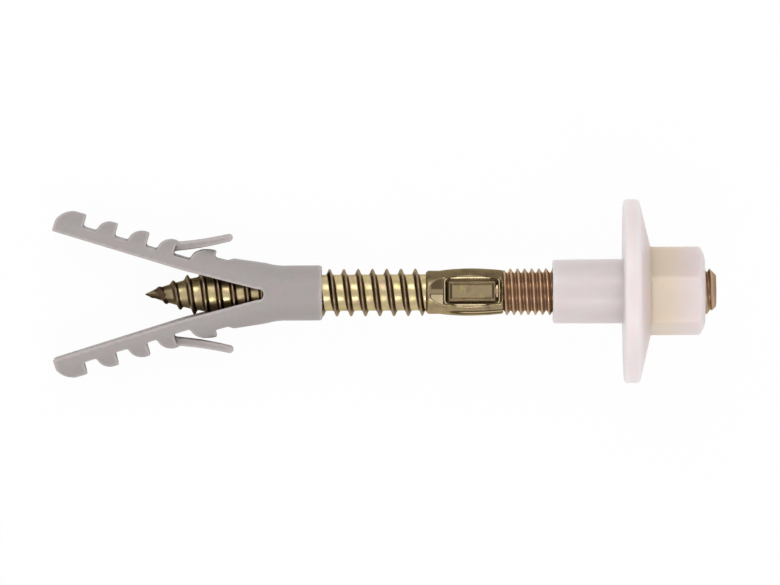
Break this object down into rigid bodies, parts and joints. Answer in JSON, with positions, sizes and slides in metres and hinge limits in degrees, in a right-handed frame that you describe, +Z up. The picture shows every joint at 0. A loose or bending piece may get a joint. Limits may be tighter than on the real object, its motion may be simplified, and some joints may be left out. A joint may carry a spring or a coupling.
{
  "type": "washbasin fixing bolt",
  "caption": "Wall fixing for a washbasin: a hanger bolt in a split toothed wall plug, with a flanged collar nut that clamps the basin.",
  "frame": {"origin": "on the surface that the set lies on, under the centre of its outline; the flange's rim and the two leg tips touch that surface", "axes": "+X from the plug's legs towards the nut, +Y across the spread legs, +Z up; the bolt rises 6.63 degrees above +X because the flange is wider than the plug"},
  "size_m": [0.1396, 0.0386, 0.0386],
  "materials": {
    "bolt_steel": "yellow-passivated zinc plating",
    "plug_nylon": "warm grey moulded nylon",
    "nut_nylon": "milky natural nylon"
  },
  "bodies": {
    "plug": {"expansion_plug": "plug_nylon"},
    "bolt": {"hanger_bolt": "bolt_steel"},
    "nut": {"collar_nut": "nut_nylon"}
  },
  "joints": [
    {"name": "bolt_turn", "type": "hinge", "parent": "plug", "child": "bolt", "pos_m": [-0.01268, 0, 0.01183], "axis": [0.9933, 0, 0.1155], "range_deg": [-7200, 2520]},
    {"name": "nut_travel", "type": "slide", "parent": "plug", "child": "nut", "axis": [-0.9933, 0, -0.1155], "range_m": [-0.0301, 0.0106]}
  ],
  "couplings": [
    {"joint": "nut_travel", "follows": "bolt_turn", "m_per_rad": 0.00023873}
  ]
}
